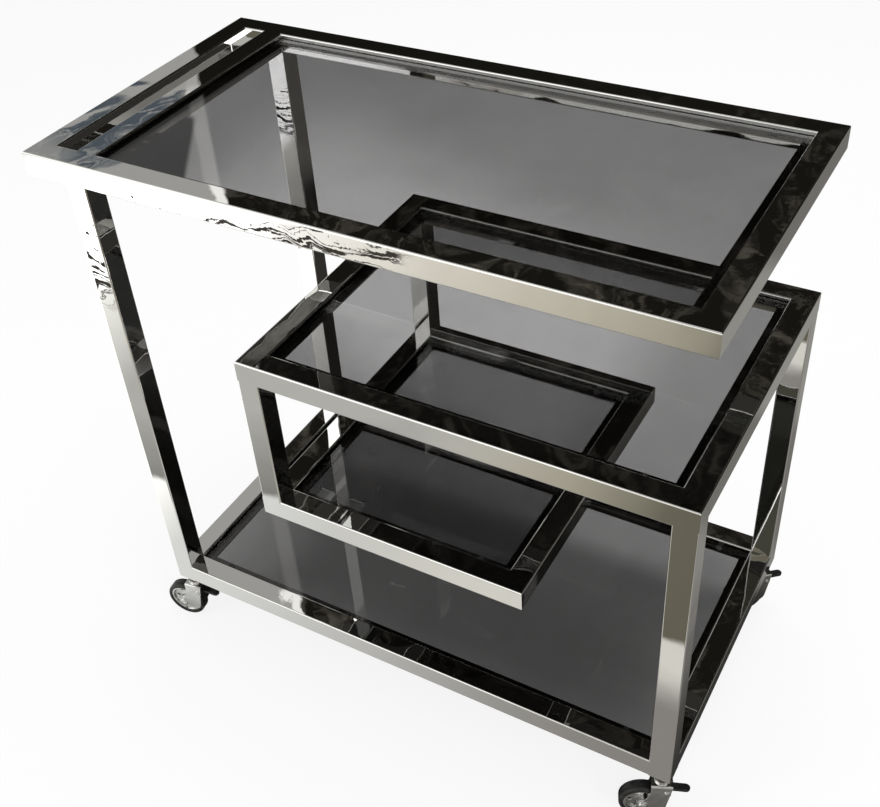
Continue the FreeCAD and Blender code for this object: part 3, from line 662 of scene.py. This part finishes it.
def draw_outline(name, corners, spot):
    """Draw a flat face by extruding one vertex from corner to corner. A third number rounds its corner."""
    leave_edit_mode()
    bpy.ops.mesh.primitive_plane_add(size=MM)
    piece = bpy.context.object
    piece.name = name
    bpy.ops.object.mode_set(mode="EDIT")
    bpy.ops.mesh.select_mode(type="VERT")
    pick_all()
    bpy.ops.mesh.merge(type="CENTER")
    places = [Vector(spot(*corner[:2])) * MM for corner in corners]
    bpy.ops.transform.translate(value=places[0])
    for start, finish in zip(places, places[1:]):
        bpy.ops.mesh.extrude_vertices_move(TRANSFORM_OT_translate={"value": finish - start})
    pick_all()
    bpy.ops.mesh.edge_face_add()
    for index, corner in enumerate(corners):
        if len(corner) == 3:
            here = places[index]
            turn = (here - places[index - 1]).angle(places[(index + 1) % len(places)] - here)
            pick(piece, "VERT", lambda vertex: (vertex.co - here).length < HAIR)
            width = corner[2] * MM * math.tan(turn / 2)
            bpy.ops.mesh.bevel(offset=width, segments=CORNER_STEPS, affect="VERTICES")
    return piece


print("steps in a rounded corner:", CORNER_STEPS)

# %% [markdown]
# Wheels, rivets and stems are turned on a lathe, and here a half section is spun round the axle in the same
# way. A spin leaves doubles where it closes, so they are merged, and the faces are turned outwards.

# %% Lathe
LATHE_STEPS = 64


def close_up(piece):
    """Merge doubles, drop loose edges and turn all faces outwards."""
    pick_all()
    bpy.ops.mesh.remove_doubles(threshold=0.002 * MM)
    bpy.ops.mesh.delete_loose()
    pick_all()
    bpy.ops.mesh.normals_make_consistent(inside=False)
    leave_edit_mode()
    return piece


def turn_on_lathe(name, corners, upright=False, centre=(0, 0, 0), steps=LATHE_STEPS):
    """Spin a half section, given as radius and length along the axis, round Z if upright or else round Y."""
    def spot(radius, along):
        if upright:
            return centre[0] + radius, 0, centre[2] + along
        return centre[0] + radius, along, centre[2]

    piece = draw_outline(name, corners, spot)
    pick_all()
    bpy.ops.mesh.delete(type="ONLY_FACE")
    pick_all()
    axis = (0, 0, 1) if upright else (0, 1, 0)
    bpy.ops.mesh.spin(steps=steps, angle=math.tau, center=Vector(centre) * MM, axis=axis)
    return close_up(piece)


def mirrored_section(half):
    """Complete a half section that runs from the bore outwards with its mirror image."""
    return half + [(corner[0], -corner[1], *corner[2:]) for corner in reversed(half)]


print("steps in a full turn:", LATHE_STEPS)

# %% [markdown]
# A finished piece gets smooth shading up to its real edges and is copied to the four corners. Each copy
# stands for the plain solid of the CAD model and rides with the same body.

# %% Copies at the corners
def smooth(piece):
    take(piece)
    bpy.ops.object.shade_smooth_by_angle(angle=math.radians(35))


def copy_to(master, name, matrix):
    copy = bpy.data.objects.new(name, master.data.copy())
    bpy.context.collection.objects.link(copy)
    copy.matrix_world = matrix
    return copy


def hand_over(piece, body, slot, solid=None):
    """Give a piece its finish and its body, and let it stand for a solid where it replaces one."""
    piece.data.materials.clear()
    piece.data.materials.append(finishes[slot])
    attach(piece, body)
    if solid:
        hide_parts(solid)


def fit_to_corners(master, piece_name, body, slot, solid=None):
    """Copy a finished caster piece to the four corners."""
    take(master, "EDIT")
    smooth(close_up(master))
    for corner, angle in CASTER_TURNS.items():
        turned = under_leg(corner) @ Matrix.Rotation(math.radians(angle), 4, "Z")
        copy = copy_to(master, f"{corner}_{piece_name}", turned)
        take(copy)
        bpy.ops.object.transform_apply()
        hand_over(copy, f"{corner}_{body}", slot, solid and f"{corner}_{solid}")
    print(piece_name, "faces:", len(master.data.polygons))
    bpy.data.objects.remove(master)


print("corners:", list(CASTER_TURNS))

# %% [markdown]
# A solid rubber tyre is moulded round the wheel. Its section is drawn once and spun: full shoulders, a bead
# beside the wheel, and two fine grooves round the tread. A spun section gives true round grooves, which a
# bump could only suggest.

# %% Tyre
BAND_RADIUS, TYRE_HALF, SHOULDER = 25, 9, 4
half_tyre = [
    (BAND_RADIUS, 8.2), (25.5, TYRE_HALF), (26, TYRE_HALF), (26.2, 8.55), (26.6, 8.55), (26.8, TYRE_HALF),
    (WHEEL_RADIUS, TYRE_HALF, SHOULDER), (WHEEL_RADIUS, 3.5), (30.3, 3.3), (30.3, 2.6), (WHEEL_RADIUS, 2.4),
]
tyre = turn_on_lathe("tyre_master", mirrored_section(half_tyre), centre=AXLE, steps=96)
fit_to_corners(tyre, "rubber_tyre", "wheel", "tyre_rubber", "tyre")

# %% [markdown]
# The wheel centre is turned and plated. Its hub stands out to the fork, its web is thin, and a wide band
# carries the tyre. Six holes show the black plastic core between the two plated faces, and their edges are
# rolled over, so the drill that cuts them here flares where it meets the faces. The core gets a pocket of its
# own, so that it shares no space with the metal.

# %% Wheel centre
AXLE_BORE, HOLES, HOLE_RING = 4.05, 6, 16.4
half_wheel = [
    (AXLE_BORE, 10), (6.9, 10), (8, 9.2), (8, 3.8), (8.5, 2.8), (9.8, 2.2), (12, 2), (19.6, 2), (21, 2.4),
    (21.8, 3.2), (22, 4.2), (22, 6.9), (22.5, 7.5), (BAND_RADIUS, 7.5),
]
half_drill = [(0, 3), (3.1, 3), (3.1, 2), (2.75, 1.75), (2.6, 1.4)]


def combine(piece, tool, operation):
    """Join, cut or intersect two solids and remove the second."""
    take(piece)
    boolean = piece.modifiers.new("combine", "BOOLEAN")
    boolean.operation = operation
    boolean.solver = "EXACT"
    boolean.object = tool
    bpy.ops.object.modifier_apply(modifier=boolean.name)
    bpy.data.objects.remove(tool)
    return piece


wheel = turn_on_lathe("wheel_master", mirrored_section(half_wheel), centre=AXLE, steps=96)
pocket = turn_on_lathe("pocket", mirrored_section([(13, 0.7), (20, 0.7)]), centre=AXLE, steps=96)
combine(wheel, pocket, "DIFFERENCE")
for hole in range(HOLES):
    angle = math.tau * hole / HOLES + 0.02
    spot = (AXLE[0] + HOLE_RING * math.cos(angle), 0, AXLE[2] + HOLE_RING * math.sin(angle))
    combine(wheel, turn_on_lathe("drill", mirrored_section(half_drill), centre=spot, steps=24), "DIFFERENCE")
fit_to_corners(wheel, "wheel_disc", "wheel", "wheel_centre", "rim")
core = turn_on_lathe("core_master", mirrored_section([(13, 0.68), (19.98, 0.68)]), centre=AXLE, steps=96)
fit_to_corners(core, "wheel_core", "wheel", "lever_plastic")

# %% [markdown]
# Sheets and bars start as plates: an outline is drawn and pulled to its thickness. Pressing and moulding
# leave no sharp edge, so a finished plate gets a fine bevel. A hollow arc is given as on a drawing, by its
# two ends and its radius.

# %% Plates
SHARP = math.radians(30)


def cut_plate(name, corners, spot, push):
    """Draw an outline and pull it into a plate."""
    piece = draw_outline(name, corners, spot)
    pick_all()
    bpy.ops.mesh.extrude_region_move(TRANSFORM_OT_translate={"value": Vector(push) * MM})
    return close_up(piece)


def soften(piece, width):
    """Round every sharp edge a little."""
    take(piece)
    bevel = piece.modifiers.new("soften", "BEVEL")
    bevel.width = width * MM
    bevel.segments = 2
    bevel.limit_method = "ANGLE"
    bevel.angle_limit = SHARP
    bpy.ops.object.modifier_apply(modifier=bevel.name)
    return piece


def arc_between(start, finish, radius, count):
    """Points of a hollow arc from start to finish, the ends left out."""
    start, finish = Vector(start), Vector(finish)
    chord = finish - start
    side = Vector((-chord.y, chord.x)).normalized()
    centre = (start + finish) / 2 - side * math.sqrt(radius ** 2 - (chord.length / 2) ** 2)
    first, last = ((point - centre).to_3d().normalized() for point in (start, finish))
    steps = [(step + 1) / (count + 1) for step in range(count)]
    return [tuple(centre + radius * first.slerp(last, step).to_2d()) for step in steps]


print("edges sharper than", round(math.degrees(SHARP)), "degrees are softened")

# %% [markdown]
# The fork is pressed from one sheet: a crown folded down into two broad legs. It starts as a block with the
# outline of its side view. The fold is a bevel along the upper edges, and an inset on each leg presses its
# middle in and leaves a stiff border. A slot cut from below then leaves the sheet.

# %% Fork sheet
FORK_INSIDE, FORK_OUTSIDE = 10.3, 12.8
CROWN_TOP, CROWN_BOTTOM = 75, 72
CROWN_BACK, HEEL_DROP, HEEL_RADIUS = -14, 13, 40
EYE_RADIUS, TOE_RADIUS = 9.5, 12.5


def folded_edge(edge):
    """An upper edge that runs along the fork, where the sheet is folded down."""
    first, last = (vertex.co for vertex in edge.verts)
    return min(first.z, last.z) > CROWN_TOP * MM - HAIR and abs(first.y - last.y) < HAIR


heel = (CROWN_BACK, CROWN_TOP - HEEL_DROP)
eye = (-TRAIL - EYE_RADIUS, WHEEL_RADIUS)
foot = WHEEL_RADIUS - EYE_RADIUS
fork_side = [
    (CROWN_BACK, CROWN_TOP), heel, *arc_between(heel, eye, HEEL_RADIUS, 10), eye,
    (-TRAIL - EYE_RADIUS, foot, EYE_RADIUS), (PIN[0] - 2, foot, TOE_RADIUS), (PIN[0] + 7, CROWN_TOP),
]
fork = cut_plate("fork_master", fork_side, lambda x, z: (x, -FORK_OUTSIDE, z), (0, 2 * FORK_OUTSIDE, 0))
take(fork, "EDIT")
pick(fork, "EDGE", folded_edge)
bpy.ops.mesh.bevel(offset=3 * MM, segments=5, affect="EDGES")
pick(fork, "FACE", lambda face: abs(face.normal.y) > 0.999)
bpy.ops.mesh.inset(thickness=1.7 * MM, depth=-0.5 * MM, use_individual=True)
leave_edit_mode()
slot_side = [(-60, -5), (40, -5), (40, CROWN_BOTTOM), (-60, CROWN_BOTTOM)]
slot = cut_plate("slot", slot_side, lambda x, z: (x, -FORK_INSIDE, z), (0, 2 * FORK_INSIDE, 0))
combine(fork, slot, "DIFFERENCE")
soften(fork, 0.35)
print("fork sheet:", FORK_OUTSIDE - FORK_INSIDE, "mm thick")

# %% [markdown]
# The press also leaves round seats for the axle and the lever's pin and a boss for the swivel. They are
# turned and joined to the sheet, and then all bores are drilled at once, so that sheet and seats agree.

# %% Fork seats and bores
PIN_BORE, STEM_BORE, SEAT_FLOOR = 2.55, 5.05, 11.5
for reach, (x, _, z) in ((8.2, AXLE), (4.8, PIN)):
    seats = ((-FORK_OUTSIDE, -SEAT_FLOOR, reach), (SEAT_FLOOR, FORK_OUTSIDE, reach - 0.3))
    for low, high, top_reach in seats:
        section = [(0, low), (reach, low), (top_reach, high), (0, high)]
        combine(fork, turn_on_lathe("seat", section, centre=(x, 0, z), steps=48), "UNION")
boss_section = [(0, 73), (11.5, 73), (11.5, 75), (10.3, 75.3), (9.5, 76.2), (9.5, 80, 1), (0, 80)]
combine(fork, turn_on_lathe("boss", boss_section, upright=True), "UNION")
stem_drill = [(0, 60), (STEM_BORE, 60), (STEM_BORE, 90), (0, 90)]
combine(fork, turn_on_lathe("stem_bore", stem_drill, upright=True, steps=48), "DIFFERENCE")


def cross_drill(radius, centre=(0, 0, 0)):
    section = [(0, -20), (radius, -20), (radius, 20), (0, 20)]
    return turn_on_lathe("cross_drill", section, centre=centre, steps=32)


for radius, spot in ((AXLE_BORE, AXLE), (PIN_BORE, PIN)):
    combine(fork, cross_drill(radius, spot), "DIFFERENCE")
fit_to_corners(fork, "pressed_fork", "caster", "chromed_fork", "fork")

# %% [markdown]
# The axle and the lever's pin are rivets: a plain shank with a low domed head on each side. The setting tool
# leaves a small dimple in the middle of each head.

# %% Rivets
def rivet_section(shank, head, height):
    """The dome of a head is given in shares of its radius and, from the top down, of its height."""
    top = FORK_OUTSIDE + height
    dome = [(0, 0.3), (0.2, 0.25), (0.3, 0), (0.55, 0.04), (0.8, 0.24), (0.95, 0.52), (1, 0.8), (1, 1)]
    head_points = [(across * head, top - down * height) for across, down in dome]
    return mirrored_section([*head_points, (shank, FORK_OUTSIDE)])


axle = turn_on_lathe("axle_master", rivet_section(4, 6.5, 3), centre=AXLE)
fit_to_corners(axle, "axle_rivet", "caster", "pin_steel", "axle")
pin = turn_on_lathe("pin_master", rivet_section(2.5, 3.5, 1.2), centre=PIN, steps=40)
fit_to_corners(pin, "lever_rivet", "caster", "pin_steel", "lever_pin")

# %% [markdown]
# The brake lever is moulded in black plastic: a barrel on its pin, a shoe that presses on the tyre, and a
# pedal with a round end. It is modelled level, with its pin at the origin, and starts with barrel and shoe.

# %% Brake lever
BARREL, LEVER_TILT = 4.5, 5
SHOE_TURN, SHOE_REACH, NOSE_RADIUS = 27, 8.6, 2
lever = turn_on_lathe("lever_master", mirrored_section([(0, 9.9), (BARREL, 9.9, 0.5)]), steps=48)
shoe_angle = math.radians(180 + SHOE_TURN + LEVER_TILT) + PIN_BEARING
along = Vector((math.cos(shoe_angle), math.sin(shoe_angle)))
across = Vector((-along.y, along.x))
bends = [math.pi * step / 12 for step in range(-6, 7)]
nose = [(SHOE_REACH + NOSE_RADIUS * math.cos(t)) * along + NOSE_RADIUS * math.sin(t) * across for t in bends]
shoe_side = [tuple(-BARREL * across), *(tuple(point) for point in nose), tuple(BARREL * across)]
shoe = cut_plate("shoe", shoe_side, lambda x, z: (x, -7.5, z), (0, 15, 0))
combine(lever, soften(shoe, 0.5), "UNION")
print("lever faces so far:", len(lever.data.polygons))

# %% [markdown]
# A foot needs some grip on the pedal, so its top has low ribs across. Then the lever is bored, tilted and put
# on its pin.

# %% Pedal
PEDAL_LENGTH, PEDAL_HALF = 37 - PIN[0], 5.5
PEDAL_BOTTOM, PEDAL_TOP = -1.5, 2.5
RIB_HALF, RIB_WIDTH = 3.6, 1.3


def pedal_rim(height):
    """A test for the pedal's edges at one height, but for the straight one inside the barrel."""
    def on_rim(edge):
        ends = [vertex.co for vertex in edge.verts]
        level = all(abs(end.z - height * MM) < HAIR for end in ends)
        return level and max(end.x for end in ends) > HAIR
    return on_rim


round_end = [(PEDAL_LENGTH, -PEDAL_HALF, PEDAL_HALF), (PEDAL_LENGTH, PEDAL_HALF, PEDAL_HALF)]
pedal_side = [(0, -PEDAL_HALF), *round_end, (0, PEDAL_HALF)]
pedal = cut_plate("pedal", pedal_side, lambda x, y: (x, y, PEDAL_BOTTOM), (0, 0, PEDAL_TOP - PEDAL_BOTTOM))
take(pedal, "EDIT")
pick(pedal, "EDGE", pedal_rim(PEDAL_TOP))
bpy.ops.mesh.bevel(offset=1.2 * MM, segments=4, affect="EDGES")
pick(pedal, "EDGE", pedal_rim(PEDAL_BOTTOM))
bpy.ops.mesh.bevel(offset=0.5 * MM, segments=2, affect="EDGES")
leave_edit_mode()
combine(lever, pedal, "UNION")
for x in range(13, 26, 3):
    rib_side = [(x, 1.5), (x + RIB_WIDTH, 1.5), (x + RIB_WIDTH, 3.1, 0.6), (x, 3.1, 0.6)]
    rib = cut_plate("rib", rib_side, lambda a, z: (a, -RIB_HALF, z), (0, 2 * RIB_HALF, 0))
    combine(lever, rib, "UNION")
combine(lever, cross_drill(PIN_BORE), "DIFFERENCE")
lever.matrix_world = Matrix.Translation(Vector(PIN) * MM) @ Matrix.Rotation(math.radians(LEVER_TILT), 4, "Y")
take(lever)
bpy.ops.object.transform_apply()
fit_to_corners(lever, "foot_lever", "brake", "lever_plastic", "brake_lever")

# %% [markdown]
# The stem is turned from one bar. A plain neck can't be tightened, so it is milled to a hexagon for a
# spanner, and its corners are rounded by the lathe. Below it a cup sits on the swivel washer, and the lower
# end is riveted under the crown. The thread is out of sight in the leg. The four stems belong to the frame
# and need no turn, so they are joined to one piece.

# %% Stems
stem_section = [
    (0, 69.4), (6.6, 69.4), (7.7, 69.9), (8, 70.8), (8, 71.9), (5, 71.9), (5, 81), (10, 81, 0.6),
    (10, 84, 0.9), (5, 84), (5, 95), (5, 114.2), (4.2, 115), (0, 115),
]
stem = turn_on_lathe("stem_master", stem_section, upright=True)
neck_section = [(0, 83.5), (7.5, 83.5), (7.5, 94.2), (6.8, 95), (0, 95)]
neck = turn_on_lathe("neck", neck_section, upright=True)
flats = turn_on_lathe("flats", [(0, 80), (7.7, 80), (7.7, 96), (0, 96)], upright=True, steps=6)
combine(stem, combine(neck, flats, "INTERSECT"), "UNION")
smooth(stem)
stems = [copy_to(stem, f"{corner}_stem", under_leg(corner)) for corner in CASTER_TURNS]
bpy.data.objects.remove(stem)


def join_pieces(pieces, name):
    leave_edit_mode()
    for piece in pieces:
        piece.select_set(True)
    bpy.context.view_layer.objects.active = pieces[0]
    bpy.ops.object.transform_apply()
    bpy.ops.object.join()
    bpy.context.object.name = name
    return bpy.context.object


stem_set = join_pieces(stems, "spanner_stems")
# Their dark steel finish is painted shade for the shade between leg and crown.
hand_over(stem_set, "frame", "stem_steel", "caster_stems")
print("stems:", len(stems), "faces:", len(stem_set.data.polygons))

# %% [markdown]
# The tubes are butted and welded, and the welds are ground flush and polished, so no seam shows. Where a tube
# ends on the rounded edge of another, a small groove would stay open, and it is this groove that the weld
# fills. Its shape comes from solid bars with the outsides of the tubes.

# %% Bars for the welds
TUBE_SIDE, TUBE_CORNER = 30 * MM, 2 * MM


def square_bar(low, high, along):
    """A solid bar with the tube's outside: a cube with its four long edges rounded."""
    leave_edit_mode()
    bpy.ops.mesh.primitive_cube_add(size=1, location=(low + high) / 2)
    bar = bpy.context.object
    bar.dimensions = high - low
    bpy.ops.object.transform_apply()
    bpy.ops.object.mode_set(mode="EDIT")
    pick(bar, "EDGE", lambda edge: abs((edge.verts[0].co - edge.verts[1].co).normalized()[along]) > 0.99)
    bpy.ops.mesh.bevel(offset=TUBE_CORNER, segments=6, affect="EDGES")
    leave_edit_mode()
    return bar


def long_way(node):
    low, high = (Vector(corner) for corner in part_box(node))
    size = high - low
    return low, high, max(range(3), key=lambda axis: size[axis])


print("tube corner radius:", round(TUBE_CORNER / MM, 1), "mm")

# %% [markdown]
# A short stub of the first tube is grown into the second, and the second tube's bar is cut from it: what
# stays is the weld. At a mitred corner two rails share the place, and their common part is cut.

# %% Ground welds
def weld(tube, end, *rails):
    """Fill the groove between the end of a tube and the one or two rails that it stands on."""
    low, high, along = long_way(tube)
    if end > 0:
        low[along] = high[along]
        high[along] += TUBE_CORNER
    else:
        high[along] = low[along]
        low[along] -= TUBE_CORNER
    stub = square_bar(low, high, along)
    bars = []
    for number, rail in enumerate(rails):
        rail_low, rail_high, rail_along = long_way(rail)
        if len(rails) == 2:
            inward = 3 - along - rail_along
            middle = (low[inward] + high[inward]) / 2
            other_low, other_high, _ = long_way(rails[1 - number])
            if (other_low[inward] + other_high[inward]) / 2 > middle:
                rail_high[inward] += TUBE_SIDE
            else:
                rail_low[inward] -= TUBE_SIDE
        bars.append(square_bar(rail_low, rail_high, rail_along))
    tool = bars[0] if len(bars) == 1 else combine(bars[0], bars[1], "INTERSECT")
    return combine(stub, tool, "DIFFERENCE")


print("a stub is", round(TUBE_CORNER / MM, 1), "mm long")

# %% [markdown]
# Each joint is named by the tube that ends there, by which of its ends it is, 1 for the high one and -1 for
# the low one, and by the rails that it stands on. The repeated ones are made by loops. The welds keep flat
# faces, because smooth shading would bend the mirror image beside each joint.

# %% Joints
joints = []
for side, end in (("front", -1), ("back", 1)):
    joints += [(f"{side}_left_leg", 1, f"top_{side}_rail"), ("top_cross_rail", end, f"top_{side}_rail")]
    joints += [(f"{side}_right_leg", 1, f"middle_{side}_rail", "middle_right_rail")]
    for post_end, tier in ((1, "middle"), (-1, "inner")):
        joints += [(f"{side}_post", post_end, f"{tier}_{side}_rail", f"{tier}_left_rail")]
    for across, across_end in (("left", -1), ("right", 1)):
        joints += [(f"base_{side}_rail", across_end, f"{side}_{across}_leg")]
        joints += [(f"base_{across}_rail", end, f"{side}_{across}_leg")]
seams = join_pieces([weld(*joint) for joint in joints], "ground_welds")
hand_over(seams, "frame", "polished_tube")
print("welds:", len(joints), "faces:", len(seams.data.polygons))
